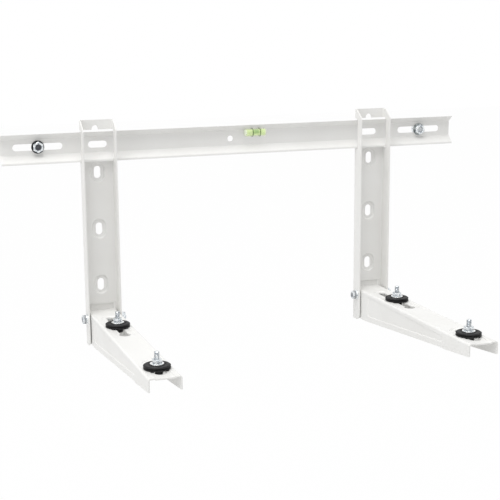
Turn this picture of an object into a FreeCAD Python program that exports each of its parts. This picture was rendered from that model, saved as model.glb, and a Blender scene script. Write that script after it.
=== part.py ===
import FreeCAD, Part
import math
import os

from FreeCAD import Vector

os.makedirs("parts", exist_ok=True)

# Wall bracket for an outdoor unit: a horizontal rail screwed to the wall, two channel
# uprights that hang on it, and two arms that carry the unit on rubber mounts.
# Millimetres. X runs along the rail, the wall is the plane y = 0 and lies on the +Y side,
# Z is up. The origin is the middle of the rail on the wall plane.

# Sheet metal
SHEET = 2.0
BEND_INNER = 1.5
# A 45 degree pressed wall moves this far sideways between its two faces.
PRESS_SHIFT = SHEET * (math.sqrt(2.0) - 1.0)
# Cutters and trimming blocks stand this far past what they cut.
CUT_PAST = 8.0 * SHEET

# Rail
RAIL_LENGTH = 800.0
RAIL_WEB_HALF = 13.0
RAIL_TOP_SLOPE = 37.0
RAIL_TOP_Z = 21.5
RAIL_BACK_OF_LIP = 12.0
RAIL_SLOPE_LOW_Z = -24.0
RAIL_LIP_LOW_Z = -26.8
RAIL_BEND_INNER = 1.0
END_SLOT_LENGTH = 81.0
END_SLOT_MARGIN = 20.0
WALL_SLOT_LENGTH = 31.5
WALL_SLOT_FROM_END = 158.5
WALL_SLOT_X = 0.5 * RAIL_LENGTH - WALL_SLOT_FROM_END
SLOT_WIDTH = 11.0
SIGHT_HOLE_R = 5.0
SIGHT_HOLE_X = -13.0
SIGHT_HOLE_Z = -1.0

# Uprights
UPRIGHT_FROM_END = 156.5
UPRIGHT_X = 0.5 * RAIL_LENGTH - UPRIGHT_FROM_END
UPRIGHT_WIDTH = 56.0
UPRIGHT_FRONT = 30.0
UPRIGHT_BOTTOM = -332.5
HOOK_TOP_GAP = 2.7
HOOK_LOW_GAP = 1.2
HOOK_FRONT_GAP = 2.0
TAB_HEIGHT = 16.0
HOOK_TOP = RAIL_TOP_Z + HOOK_TOP_GAP
HOOK_BOTTOM = RAIL_LIP_LOW_Z - HOOK_LOW_GAP
HOOK_DEPTH = RAIL_BACK_OF_LIP + SHEET + HOOK_FRONT_GAP
UPRIGHT_TOP = HOOK_TOP + TAB_HEIGHT
DIMPLE_DEPTH = 2.5
WEB_BACK = -DIMPLE_DEPTH
WEB_FRONT = WEB_BACK - SHEET
TOP_CORNER_START = 10.0
TOP_CORNER_DROP = 14.5
TOP_CORNER_UPPER_R = 16.0
TOP_CORNER_LOWER_R = 9.0
BOTTOM_CORNER_R = 12.0
HOOK_SEAT_WIDTH = 4.0
TAB_NOTCH_WIDTH = 10.5
TAB_NOTCH_HEIGHT = 7.0
TAB_NOTCH_X = -2.0
FIX_SLOT_LENGTH = 20.0
FIX_SLOT_PITCH = 94.0
FIX_SLOT_BELOW_HOOK = 17.5
FIX_SLOT_FIRST_Z = HOOK_BOTTOM - FIX_SLOT_BELOW_HOOK
FIX_SLOT_COUNT = 3
DIMPLE_MARGIN = 7.5

# Arms
ARM_TOP_ABOVE_BOTTOM = 55.0
ARM_TOP = UPRIGHT_BOTTOM + ARM_TOP_ABOVE_BOTTOM
ARM_REACH = 400.0
ARM_TIP = -ARM_REACH
ARM_SIDE_GAP = 1.9
ARM_WIDTH = UPRIGHT_WIDTH - 2.0 * SHEET - 2.0 * ARM_SIDE_GAP
ARM_TIP_DEPTH = 19.8
ARM_KINK_FROM_TIP = 71.0
ARM_KINK_LENGTH = 15.5
ARM_KINK_FRONT = ARM_TIP + ARM_KINK_FROM_TIP
ARM_KINK_REAR = ARM_KINK_FRONT + ARM_KINK_LENGTH
ARM_KINK_DEPTH = 27.2
ARM_REAR_DEPTH = 52.0
ARM_LEVEL_PAST_UPRIGHT = 19.0
ARM_REAR_FLAT = -UPRIGHT_FRONT - ARM_LEVEL_PAST_UPRIGHT
ARM_TIP_CORNER_R = 2.0
ARM_WINDOW_FROM_SIDE = 6.5
ARM_WINDOW_HALF = 0.5 * UPRIGHT_WIDTH - ARM_WINDOW_FROM_SIDE
ARM_WINDOW_PAST_TOP = 11.0
ARM_WINDOW_TOP = ARM_TOP + ARM_WINDOW_PAST_TOP
TONGUE_SIDE_GAP = 0.5
TONGUE_OVERLAP = 3.5
TONGUE_HALF = ARM_WINDOW_HALF - TONGUE_SIDE_GAP
TONGUE_TOP = ARM_WINDOW_TOP + TONGUE_OVERLAP
KEY_SLOT_HALF = 6.0
KEY_HOLE_R = 9.0
REAR_SLOT_FROM_UPRIGHT = 26.5
REAR_KEY_FROM_UPRIGHT = 137.0
REAR_MOUNT_FROM_UPRIGHT = 89.5
FRONT_SLOT_FROM_TIP = 79.0
FRONT_KEY_FROM_TIP = 25.5
FRONT_MOUNT_FROM_TIP = 43.5
REAR_SLOT_START = -UPRIGHT_FRONT - REAR_SLOT_FROM_UPRIGHT
REAR_KEY_Y = -UPRIGHT_FRONT - REAR_KEY_FROM_UPRIGHT
REAR_MOUNT_Y = -UPRIGHT_FRONT - REAR_MOUNT_FROM_UPRIGHT
FRONT_SLOT_START = ARM_TIP + FRONT_SLOT_FROM_TIP
FRONT_KEY_Y = ARM_TIP + FRONT_KEY_FROM_TIP
FRONT_MOUNT_Y = ARM_TIP + FRONT_MOUNT_FROM_TIP
PRESS_HALF = 14.0
PRESS_DEPTH = 1.0
PRESS_END_MARGIN = 8.0
PANEL_DEPTH = 1.0
PANEL_PAST_UPRIGHT = 26.5
PANEL_REAR = -UPRIGHT_FRONT - PANEL_PAST_UPRIGHT
PANEL_PAST_KINK = 8.0
PANEL_FRONT = ARM_KINK_REAR - PANEL_PAST_KINK
PANEL_TOP_REAR = 6.0
PANEL_TOP_FRONT = 7.8
PANEL_EDGE_OFFSET = 9.0
PANEL_CORNER_R = 3.0

# Rubber mounts, heights measured from the arm's top
PAD_R = 19.5
PAD_HEIGHT = 6.4
PAD_TOP_SLOPE = 1.6
PAD_TOP_R = PAD_R - PAD_TOP_SLOPE
PAD_RIM = 1.2
PAD_GROOVE = 0.9
NECK_GAP = 0.25
NECK_R = KEY_SLOT_HALF - NECK_GAP
BULB_GAP = 0.2
BULB_R = KEY_HOLE_R - BULB_GAP
BULB_HEIGHT = 5.4
BULB_LOW = SHEET + PRESS_DEPTH + BULB_HEIGHT
BULB_TAPER = 2.4
STUD_PLATE_R = 7.0
STUD_PLATE_THICK = 2.0
STUD_PLATE_COVER = 1.4
STUD_PLATE_LOW = BULB_LOW - STUD_PLATE_COVER
STUD_FREE_R = 3.6
STUD_FREE_LENGTH = 10.5
STUD_CHAMFER = 0.7

# M8 fasteners
BOLT_R = 4.0
THREAD_GAP = 0.05
NUT_FLATS = 13.0
NUT_HEIGHT = 6.5
HEAD_HEIGHT = 5.3
HEX_CHAMFER = 0.8
WASHER_GAP = 0.3
MOUNT_WASHER_R = 10.0
MOUNT_WASHER_THICK = 1.6
RAIL_BOLT_R = 5.0
RAIL_HEX_FLATS = 16.0
RAIL_HEAD_HEIGHT = 6.4
RAIL_NUT_HEIGHT = 8.0
RAIL_HEAD_DISH_R = 5.2
RAIL_HEAD_DISH_FLOOR_R = 4.2
RAIL_HEAD_DISH_DEPTH = 1.6
RAIL_WASHER_R = 10.5
RAIL_WASHER_THICK = 2.0
SPRING_WASHER_R = 7.2
SPRING_WASHER_THICK = 2.0
SPRING_WASHER_SPLIT = 1.2
SIDE_WASHER_R = 8.0
SIDE_WASHER_THICK = 1.6
SIDE_BOLT_Y = -19.0
SIDE_BOLT_BELOW_TOP = 10.0
SIDE_BOLT_Z = ARM_TOP - SIDE_BOLT_BELOW_TOP
SIDE_HOLE_GAP = 0.5
SIDE_HOLE_R = BOLT_R + SIDE_HOLE_GAP
BOLT_END_PAST_NUT = 1.0
RAIL_BOLT_PAST_NUT = 1.5
# Top of a mount's nut and of its stud above the arm.
MOUNT_NUT_TOP = PAD_HEIGHT + MOUNT_WASHER_THICK + NUT_HEIGHT
STUD_TOP = MOUNT_NUT_TOP + STUD_FREE_LENGTH

# Spirit level
VIAL_START = 10.7
VIAL_LENGTH = 37.1
VIAL_END = VIAL_START + VIAL_LENGTH
VIAL_R = 6.9
VIAL_Z = 8.3
VIAL_FLAT = 0.3
VIAL_EDGE_R = 2.2
VIAL_WALL = 1.6
VIAL_PLUG = 2.5
MARK_SPACING = 13.0
MARK_FROM_START = 19.5
MARK_CENTRE = VIAL_START + MARK_FROM_START
MARK_WIDTH = 1.2
MARK_HEIGHT = 0.25
BUBBLE_LENGTH = 10.0
BUBBLE_R = 2.6
BUBBLE_SINK = 1.0


def unit(ax, ay, bx, by):
    """Direction from one point of a plane to another."""
    length = math.hypot(bx - ax, by - ay)
    return (bx - ax) / length, (by - ay) / length


def rounded_wire(points, radii, place):
    """Closed wire through the points, each corner rounded to its own radius."""
    count = len(points)
    entries = []
    exits = []
    middles = []
    for i in range(count):
        px, py = points[i - 1]
        qx, qy = points[i]
        nx, ny = points[(i + 1) % count]
        ux, uy = unit(qx, qy, px, py)
        vx, vy = unit(qx, qy, nx, ny)
        r = radii[i]
        half = 0.5 * math.acos(max(-1.0, min(1.0, ux * vx + uy * vy)))
        if r <= 0.0:
            entries.append((qx, qy))
            exits.append((qx, qy))
            middles.append(None)
            continue
        along = r / math.tan(half)
        bx, by = unit(0.0, 0.0, ux + vx, uy + vy)
        reach = r / math.sin(half) - r
        entries.append((qx + ux * along, qy + uy * along))
        exits.append((qx + vx * along, qy + vy * along))
        middles.append((qx + bx * reach, qy + by * reach))
    edges = []
    for i in range(count):
        if middles[i] is not None:
            a = place(*entries[i])
            m = place(*middles[i])
            b = place(*exits[i])
            edges.append(Part.Arc(a, m, b).toShape())
        following = (i + 1) % count
        a = place(*exits[i])
        b = place(*entries[following])
        if a.distanceToPoint(b) > 1e-6:
            edges.append(Part.makeLine(a, b))
    return Part.Wire(edges)


def rounded_prism(points, radii, place, direction):
    """Solid swept straight from a rounded outline."""
    return Part.Face(rounded_wire(points, radii, place)).extrude(direction)


def sheet_outline(line, thickness, inner):
    """Outline and corner radii of a sheet bent along an open line of centres."""
    half = 0.5 * thickness
    left = []
    right = []
    left_r = []
    right_r = []
    last = len(line) - 1
    for i, (x, y) in enumerate(line):
        if i == 0 or i == last:
            ux, uy = unit(*line[0], *line[1]) if i == 0 else unit(*line[-2], *line[-1])
            left.append((x - uy * half, y + ux * half))
            right.append((x + uy * half, y - ux * half))
            left_r.append(0.0)
            right_r.append(0.0)
            continue
        ux, uy = unit(*line[i - 1], x, y)
        vx, vy = unit(x, y, *line[i + 1])
        turn = ux * vy - uy * vx
        mx, my = unit(0.0, 0.0, -uy - vy, ux + vx)
        reach = half / (mx * -uy + my * ux)
        left.append((x + mx * reach, y + my * reach))
        right.append((x - mx * reach, y - my * reach))
        left_r.append(inner if turn > 0.0 else inner + thickness)
        right_r.append(inner + thickness if turn > 0.0 else inner)
    return left + right[::-1], left_r + right_r[::-1]


def inset(points, distance):
    """Corners of a convex outline moved inwards by one distance on every side."""
    area = 0.0
    count = len(points)
    for i in range(count):
        ax, ay = points[i - 1]
        bx, by = points[i]
        area += ax * by - bx * ay
    side = 1.0 if area > 0.0 else -1.0
    moved = []
    for i in range(count):
        px, py = points[i - 1]
        qx, qy = points[i]
        nx, ny = points[(i + 1) % count]
        ux, uy = unit(px, py, qx, qy)
        vx, vy = unit(qx, qy, nx, ny)
        mx, my = unit(0.0, 0.0, -uy - vy, ux + vx)
        reach = side * distance / (mx * -uy + my * ux)
        moved.append((qx + mx * reach, qy + my * reach))
    return moved


def stadium(half_width, first, second, place, along_v):
    """Closed wire of a slot with round ends; first and second are the end centres."""
    w = half_width
    if along_v:
        corners = ((-w, first), (-w, second), (w, second), (w, first))
        tops = ((0.0, second + math.copysign(w, second - first)),
                (0.0, first - math.copysign(w, second - first)))
    else:
        corners = ((first, -w), (second, -w), (second, w), (first, w))
        tops = ((second + math.copysign(w, second - first), 0.0),
                (first - math.copysign(w, second - first), 0.0))
    a, b, c, d = [place(*corner) for corner in corners]
    far = place(*tops[0])
    near = place(*tops[1])
    edges = [Part.makeLine(a, b), Part.Arc(b, far, c).toShape(),
             Part.makeLine(c, d), Part.Arc(d, near, a).toShape()]
    return Part.Wire(edges)


def slot_cutter(half_width, first, second, place, along_v, direction):
    """Straight cutter with round ends."""
    return Part.Face(stadium(half_width, first, second, place, along_v)).extrude(direction)


def hexagon(place, direction, flats):
    """Six-sided prism, flats apart as given."""
    r = flats / math.sqrt(3.0)
    ring = [place(r * math.cos(math.radians(60.0 * i)), r * math.sin(math.radians(60.0 * i)))
            for i in range(6)]
    return Part.Face(Part.makePolygon(ring + [ring[0]])).extrude(direction)


def chamfered_hexagon(base, axis, height, flats, both_ends):
    """Hexagon along an axis, its corners turned down to a cone at the far or both ends."""
    if abs(axis.z) > 0.5:
        across = Vector(1, 0, 0)
    else:
        across = Vector(0, 0, 1)
    other = axis.cross(across)

    def place(u, v):
        return base + across * u + other * v

    body = hexagon(place, axis * height, flats)
    corner = flats / math.sqrt(3.0)
    drop = HEX_CHAMFER
    low = 0.5 * flats - THREAD_GAP
    bottom = low if both_ends else corner + drop
    section = [(0.0, 0.0), (bottom, 0.0)]
    if both_ends:
        section.append((corner, drop))
    section.append((corner, height - drop))
    section.append((low, height))
    section.append((0.0, height))
    ring = [base + across * r + axis * h for r, h in section]
    turned = Part.Face(Part.makePolygon(ring + [ring[0]])).revolve(base, axis, 360)
    return body.common(turned)


def rod(base, axis, radius, length):
    """Plain cylinder."""
    return Part.makeCylinder(radius, length, base, axis)


def ring_plate(base, axis, outer, inner, thickness):
    """Flat washer."""
    plate = rod(base, axis, outer, thickness)
    return plate.cut(rod(base - axis * thickness, axis, inner, 3.0 * thickness))


def hex_nut(base, axis, bolt_r, flats, height):
    """Hexagon nut standing on its base point."""
    body = chamfered_hexagon(base, axis, height, flats, True)
    bore = rod(base - axis * height, axis, bolt_r + THREAD_GAP, 3.0 * height)
    return body.cut(bore)


def hex_bolt(seat, axis, length, bolt_r, flats, head_height):
    """Hexagon bolt: the head stands on the seat against the axis, the shank runs along it."""
    head = chamfered_hexagon(seat, axis * -1.0, head_height, flats, False)
    shank = rod(seat, axis, bolt_r, length - STUD_CHAMFER)
    point = Part.makeCone(bolt_r, bolt_r - STUD_CHAMFER, STUD_CHAMFER,
                          seat + axis * (length - STUD_CHAMFER), axis)
    return head.fuse(shank).fuse(point).removeSplitter()


def split_ring(base, axis, outer, inner, thickness, split):
    """Spring washer: flat ring with a narrow split below the bolt."""
    ring = ring_plate(base, axis, outer, inner, thickness)
    corner = base - axis * thickness - Vector(0, 0.5 * split, outer + thickness)
    gap = Part.makeBox(3.0 * thickness, split, outer + thickness, corner)
    return ring.cut(gap)


def save(shape, name):
    """Write one piece."""
    shape.exportStep("parts/" + name + ".step")


AXIS_X = Vector(1, 0, 0)
AXIS_Y = Vector(0, 1, 0)
AXIS_Z = Vector(0, 0, 1)


def in_yz(x):
    """Place a (y, z) outline at one x."""
    return lambda u, v: Vector(x, u, v)


def in_xz(y, x0=0.0):
    """Place an (x, z) outline at one y, its zero shifted along the rail."""
    return lambda u, v: Vector(x0 + u, y, v)


def in_xy(z, x0=0.0):
    """Place an (x, y) outline at one z, its zero shifted along the rail."""
    return lambda u, v: Vector(x0 + u, v, z)


def rail():
    """One folded strip: flat web, sloped top and bottom flanges, short lip below."""
    slope = math.radians(RAIL_TOP_SLOPE)
    middle = -0.5 * SHEET
    reach = (RAIL_TOP_Z - RAIL_WEB_HALF) / math.sin(slope) + 2.0 * SHEET
    lip = -RAIL_BACK_OF_LIP - 0.5 * SHEET
    line = [(middle - reach * math.cos(slope), RAIL_WEB_HALF + reach * math.sin(slope)),
            (middle, RAIL_WEB_HALF), (middle, -RAIL_WEB_HALF),
            (lip, RAIL_SLOPE_LOW_Z), (lip, RAIL_LIP_LOW_Z)]
    outline, radii = sheet_outline(line, SHEET, RAIL_BEND_INNER)
    half = 0.5 * RAIL_LENGTH
    strip = rounded_prism(outline, radii, in_yz(-half), AXIS_X * RAIL_LENGTH)
    # The top flange is sheared level, and the uprights rest on that edge.
    above = Part.makeBox(RAIL_LENGTH, 2.0 * CUT_PAST, CUT_PAST,
                         Vector(-half, -2.0 * CUT_PAST, RAIL_TOP_Z))
    strip = strip.cut(above)
    w = 0.5 * SLOT_WIDTH
    place = in_xz(-CUT_PAST)
    through = AXIS_Y * (2.0 * CUT_PAST)
    for side in (-1.0, 1.0):
        outer = side * (half - END_SLOT_MARGIN - w)
        inner = side * (half - END_SLOT_MARGIN - END_SLOT_LENGTH + w)
        strip = strip.cut(slot_cutter(w, outer, inner, place, False, through))
        reach = 0.5 * WALL_SLOT_LENGTH - w
        centre = side * WALL_SLOT_X
        cutter = slot_cutter(w, centre - reach, centre + reach, place, False, through)
        strip = strip.cut(cutter)
    hole = Vector(SIGHT_HOLE_X, -CUT_PAST, SIGHT_HOLE_Z)
    return strip.cut(rod(hole, AXIS_Y, SIGHT_HOLE_R, 2.0 * CUT_PAST))


def upright(x0):
    """Channel open to the front, with the hook notch, fixing slots and the arm's window."""
    centre = 0.5 * (UPRIGHT_WIDTH - SHEET)
    middle = WEB_BACK - 0.5 * SHEET
    front = -UPRIGHT_FRONT
    line = [(-centre, front), (-centre, middle), (centre, middle), (centre, front)]
    outline, radii = sheet_outline(line, SHEET, BEND_INNER)
    height = UPRIGHT_TOP - UPRIGHT_BOTTOM
    body = rounded_prism(outline, radii, in_xy(UPRIGHT_BOTTOM, x0), AXIS_Z * height)
    # Flange outline seen from the side: sloped and rounded at the top, round at the bottom.
    behind = CUT_PAST
    side = [(behind, UPRIGHT_BOTTOM), (behind, UPRIGHT_TOP), (-TOP_CORNER_START, UPRIGHT_TOP),
            (front, UPRIGHT_TOP - TOP_CORNER_DROP), (front, UPRIGHT_BOTTOM)]
    corner = [0.0, 0.0, TOP_CORNER_UPPER_R, TOP_CORNER_LOWER_R, BOTTOM_CORNER_R]
    width = UPRIGHT_WIDTH + SHEET
    left = x0 - 0.5 * width
    body = body.common(rounded_prism(side, corner, in_yz(left), AXIS_X * width))
    # Hook: the web and the back of both flanges are cut away where the rail passes. A seat at
    # the front of the notch bears on the rail's top edge.
    notch = [(behind, HOOK_BOTTOM), (behind, HOOK_TOP), (HOOK_SEAT_WIDTH - HOOK_DEPTH, HOOK_TOP),
             (HOOK_SEAT_WIDTH - HOOK_DEPTH, RAIL_TOP_Z), (-HOOK_DEPTH, RAIL_TOP_Z),
             (-HOOK_DEPTH, HOOK_BOTTOM)]
    body = body.cut(rounded_prism(notch, [0.0] * 6, in_yz(left), AXIS_X * width))
    w = 0.5 * TAB_NOTCH_WIDTH
    place = in_xz(-CUT_PAST, x0)
    through = AXIS_Y * (2.0 * CUT_PAST)
    notch_end = HOOK_TOP + TAB_NOTCH_HEIGHT - w
    notch_place = in_xz(-CUT_PAST, x0 + TAB_NOTCH_X)
    body = body.cut(slot_cutter(w, HOOK_TOP - w, notch_end, notch_place, True, through))
    for i in range(FIX_SLOT_COUNT):
        z = FIX_SLOT_FIRST_Z - i * FIX_SLOT_PITCH
        reach = 0.5 * (FIX_SLOT_LENGTH - SLOT_WIDTH)
        body = body.fuse(dimple(x0, z, reach, WEB_BACK, 0.0))
        body = body.cut(dimple(x0, z, reach, WEB_FRONT, PRESS_SHIFT))
        cutter = slot_cutter(0.5 * SLOT_WIDTH, z - reach, z + reach, place, True, through)
        body = body.cut(cutter)
    # Window for the arm's top plate, which rests on its lower edge.
    low = ARM_TOP - SHEET
    window = Part.makeBox(2.0 * ARM_WINDOW_HALF, 3.0 * SHEET, ARM_WINDOW_TOP - low,
                          Vector(x0 - ARM_WINDOW_HALF, WEB_FRONT - SHEET, low))
    body = body.cut(window)
    hole = rod(Vector(left, SIDE_BOLT_Y, SIDE_BOLT_Z), AXIS_X, SIDE_HOLE_R, width)
    return body.cut(hole).removeSplitter()


def dimple(x0, z, reach, start, shrink):
    """Oval block with sloped sides that narrows towards the wall by its own depth."""
    wide = 0.5 * SLOT_WIDTH + DIMPLE_MARGIN - shrink
    narrow = wide - DIMPLE_DEPTH
    near = stadium(wide, z - reach, z + reach, in_xz(start, x0), True)
    far = stadium(narrow, z - reach, z + reach, in_xz(start + DIMPLE_DEPTH, x0), True)
    return Part.makeLoft([near, far], True, True)


def arm_side():
    """Side view of an arm: level at the back, tapering to the tip with a slight kink."""
    return [(WEB_FRONT, ARM_TOP), (ARM_TIP, ARM_TOP), (ARM_TIP, ARM_TOP - ARM_TIP_DEPTH),
            (ARM_KINK_FRONT, ARM_TOP - ARM_KINK_DEPTH), (ARM_KINK_REAR, ARM_TOP - ARM_KINK_DEPTH),
            (ARM_REAR_FLAT, ARM_TOP - ARM_REAR_DEPTH), (WEB_FRONT, ARM_TOP - ARM_REAR_DEPTH)]


def panel_outline():
    """Long pressed panel in the arm's side, its lower line parallel to the edge."""
    run = ARM_REAR_FLAT - ARM_KINK_REAR
    slope = (ARM_REAR_DEPTH - ARM_KINK_DEPTH) / run
    edge_rear = ARM_REAR_DEPTH - (ARM_REAR_FLAT - PANEL_REAR) * slope
    edge_front = ARM_KINK_DEPTH
    return [(PANEL_REAR, ARM_TOP - PANEL_TOP_REAR), (PANEL_FRONT, ARM_TOP - PANEL_TOP_FRONT),
            (PANEL_FRONT, ARM_TOP - edge_front + PANEL_EDGE_OFFSET),
            (PANEL_REAR, ARM_TOP - edge_rear + PANEL_EDGE_OFFSET)]


def panel_block(x, step, grow):
    """Block of the pressed panel from one face of the side to its depth."""
    outline = panel_outline()
    radii = [PANEL_CORNER_R] * 4
    near = rounded_wire(inset(outline, -grow), radii, in_yz(x))
    far = rounded_wire(inset(outline, PANEL_DEPTH - grow), radii, in_yz(x + step * PANEL_DEPTH))
    return Part.makeLoft([near, far], True, True)


def press_block(x0, first, second, top, grow):
    """Block of the pressed surround from one face of the top plate to its depth."""
    wide = PRESS_HALF + grow
    narrow = wide - PRESS_DEPTH
    near = stadium(wide, first, second, in_xy(top, x0), True)
    far = stadium(narrow, first, second, in_xy(top - PRESS_DEPTH, x0), True)
    return Part.makeLoft([near, far], True, True)


def arm(x0):
    """Tapering channel open below, with two keyhole slots and a tongue at the back."""
    centre = 0.5 * (ARM_WIDTH - SHEET)
    middle = ARM_TOP - 0.5 * SHEET
    low = ARM_TOP - ARM_REAR_DEPTH - SHEET
    line = [(-centre, low), (-centre, middle), (centre, middle), (centre, low)]
    outline, radii = sheet_outline(line, SHEET, BEND_INNER)
    length = WEB_FRONT - ARM_TIP
    body = rounded_prism(outline, radii, in_xz(ARM_TIP, x0), AXIS_Y * length)
    corner = [0.0, 0.0, ARM_TIP_CORNER_R, 0.0, 0.0, 0.0, 0.0]
    width = ARM_WIDTH + SHEET
    left = x0 - 0.5 * width
    body = body.common(rounded_prism(arm_side(), corner, in_yz(left), AXIS_X * width))
    for side in (-1.0, 1.0):
        outer = x0 + side * 0.5 * ARM_WIDTH
        inner = outer - side * SHEET
        body = body.fuse(panel_block(inner, -side, PRESS_SHIFT))
        body = body.cut(panel_block(outer, -side, 0.0))
    # Pressed surrounds of the two slots; the front one runs out through the tip.
    past_tip = ARM_TIP - PRESS_HALF
    shape_rear = PRESS_HALF - PRESS_END_MARGIN
    key_end = KEY_HOLE_R + PRESS_END_MARGIN - PRESS_HALF
    surrounds = ((REAR_SLOT_START - shape_rear, REAR_KEY_Y - key_end),
                 (FRONT_SLOT_START - shape_rear, past_tip))
    before_tip = Part.makeBox(width, 3.0 * PRESS_HALF, 2.0 * CUT_PAST,
                              Vector(left, ARM_TIP - 3.0 * PRESS_HALF, ARM_TOP - CUT_PAST))
    for first, second in surrounds:
        under = press_block(x0, first, second, ARM_TOP - SHEET, PRESS_SHIFT)
        body = body.fuse(under.cut(before_tip))
        body = body.cut(press_block(x0, first, second, ARM_TOP, 0.0))
    for start, key in ((REAR_SLOT_START, REAR_KEY_Y), (FRONT_SLOT_START, FRONT_KEY_Y)):
        low = ARM_TOP - CUT_PAST
        cutter = slot_cutter(KEY_SLOT_HALF, start - KEY_SLOT_HALF, key, in_xy(low, x0), True,
                             AXIS_Z * (2.0 * CUT_PAST))
        body = body.cut(cutter)
        body = body.cut(rod(Vector(x0, key, low), AXIS_Z, KEY_HOLE_R, 2.0 * CUT_PAST))
    # Tongue: the top plate runs through the upright's window and turns up behind the web.
    tongue_line = [(WEB_FRONT - SHEET, middle), (WEB_BACK + 0.5 * SHEET, middle),
                   (WEB_BACK + 0.5 * SHEET, TONGUE_TOP)]
    outline, radii = sheet_outline(tongue_line, SHEET, 0.0)
    radii = [SHEET * 0.5 if r > 0.0 else 0.0 for r in radii]
    tongue = rounded_prism(outline, radii, in_yz(x0 - TONGUE_HALF), AXIS_X * 2.0 * TONGUE_HALF)
    body = body.fuse(tongue)
    hole = rod(Vector(left, SIDE_BOLT_Y, SIDE_BOLT_Z), AXIS_X, SIDE_HOLE_R, width)
    return body.cut(hole).removeSplitter()


def stud(x, y):
    """Stud with a round plate held in the rubber; the free end is turned to thread size."""
    base = Vector(x, y, ARM_TOP - STUD_PLATE_LOW)
    plate = rod(base, AXIS_Z, STUD_PLATE_R, STUD_PLATE_THICK)
    shank = rod(base, AXIS_Z, BOLT_R, STUD_PLATE_LOW + MOUNT_NUT_TOP)
    free = rod(Vector(x, y, ARM_TOP), AXIS_Z, STUD_FREE_R, STUD_TOP - STUD_CHAMFER)
    point = Part.makeCone(STUD_FREE_R, STUD_FREE_R - STUD_CHAMFER, STUD_CHAMFER,
                          Vector(x, y, ARM_TOP + STUD_TOP - STUD_CHAMFER), AXIS_Z)
    return plate.fuse(shank).fuse(free).fuse(point).removeSplitter()


def rubber_mount(x, y):
    """Turned rubber spool: grooved pad, neck through the slot and bulb below the plate."""
    under = -SHEET - PRESS_DEPTH
    rise = PAD_HEIGHT
    section = [(0.0, rise), (PAD_TOP_R, rise), (PAD_R, rise - PAD_RIM),
               (PAD_R, rise - 2.0 * PAD_RIM), (PAD_R - PAD_GROOVE, 0.5 * rise),
               (PAD_R, 2.0 * PAD_RIM), (PAD_R, PAD_RIM), (PAD_R - PAD_RIM, 0.0),
               (NECK_R, 0.0), (NECK_R, under), (BULB_R, under),
               (BULB_R, BULB_TAPER - BULB_LOW), (BULB_R - 0.5 * BULB_TAPER, -BULB_LOW),
               (0.0, -BULB_LOW)]
    ring = [Vector(x + r, y, ARM_TOP + h) for r, h in section]
    axis = Vector(x, y, 0.0)
    body = Part.Face(Part.makePolygon(ring + [ring[0]])).revolve(axis, AXIS_Z, 360)
    return body.cut(stud(x, y))


def vial_centre():
    """Depth of the level's axis: a narrow flat on its back lies on the rail's web."""
    return -SHEET - VIAL_R + VIAL_FLAT


def behind_web_face(x, length):
    """Block behind the front face of the rail's web, over one stretch of the level."""
    corner = Vector(x, -SHEET, VIAL_Z - 2.0 * VIAL_R)
    return Part.makeBox(length, SHEET, 4.0 * VIAL_R, corner)


def vial_body():
    """Clear tube with round edges and a flat back, hollow from the plug to the far end."""
    y = vial_centre()
    tube = rod(Vector(VIAL_START, y, VIAL_Z), AXIS_X, VIAL_R, VIAL_LENGTH)
    tube = tube.makeFillet(VIAL_EDGE_R, [e for e in tube.Edges if e.Curve.TypeId ==
                                         "Part::GeomCircle"])
    tube = tube.cut(behind_web_face(VIAL_START, VIAL_LENGTH))
    return tube.cut(vial_hollow(0.0))


def vial_hollow(start):
    """Round hollow of the level, from a distance inside its left end."""
    y = vial_centre()
    first = VIAL_START + start
    end = VIAL_END - VIAL_WALL
    if start <= 0.0:
        first = VIAL_START - VIAL_WALL
    return rod(Vector(first, y, VIAL_Z), AXIS_X, VIAL_R - VIAL_WALL, end - first)


def vial_fluid():
    """Fluid that fills the hollow except for the bubble at its top."""
    y = vial_centre()
    fluid = vial_hollow(VIAL_PLUG)
    z = VIAL_Z + VIAL_R - VIAL_WALL - BUBBLE_SINK
    run = BUBBLE_LENGTH - 2.0 * BUBBLE_R
    start = Vector(MARK_CENTRE - 0.5 * run, y, z)
    bubble = rod(start, AXIS_X, BUBBLE_R, run)
    bubble = bubble.fuse(Part.makeSphere(BUBBLE_R, start))
    bubble = bubble.fuse(Part.makeSphere(BUBBLE_R, start + AXIS_X * run))
    return fluid.cut(bubble)


def vial_plug():
    """Plug that closes the hollow at the left end."""
    base = Vector(VIAL_START, vial_centre(), VIAL_Z)
    return rod(base, AXIS_X, VIAL_R - VIAL_WALL, VIAL_PLUG)


def vial_mark(x):
    """Thin dark ring around the tube, open at the back where the tube lies on the web."""
    y = vial_centre()
    base = Vector(x - 0.5 * MARK_WIDTH, y, VIAL_Z)
    band = ring_plate(base, AXIS_X, VIAL_R + MARK_HEIGHT, VIAL_R, MARK_WIDTH)
    return band.cut(behind_web_face(base.x, MARK_WIDTH))


save(rail(), "cross_rail")
save(vial_body(), "level_vial_body")
save(vial_fluid(), "level_vial_fluid")
save(vial_plug(), "level_vial_plug")
save(vial_mark(MARK_CENTRE - 0.5 * MARK_SPACING), "level_mark_left")
save(vial_mark(MARK_CENTRE + 0.5 * MARK_SPACING), "level_mark_right")

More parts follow.
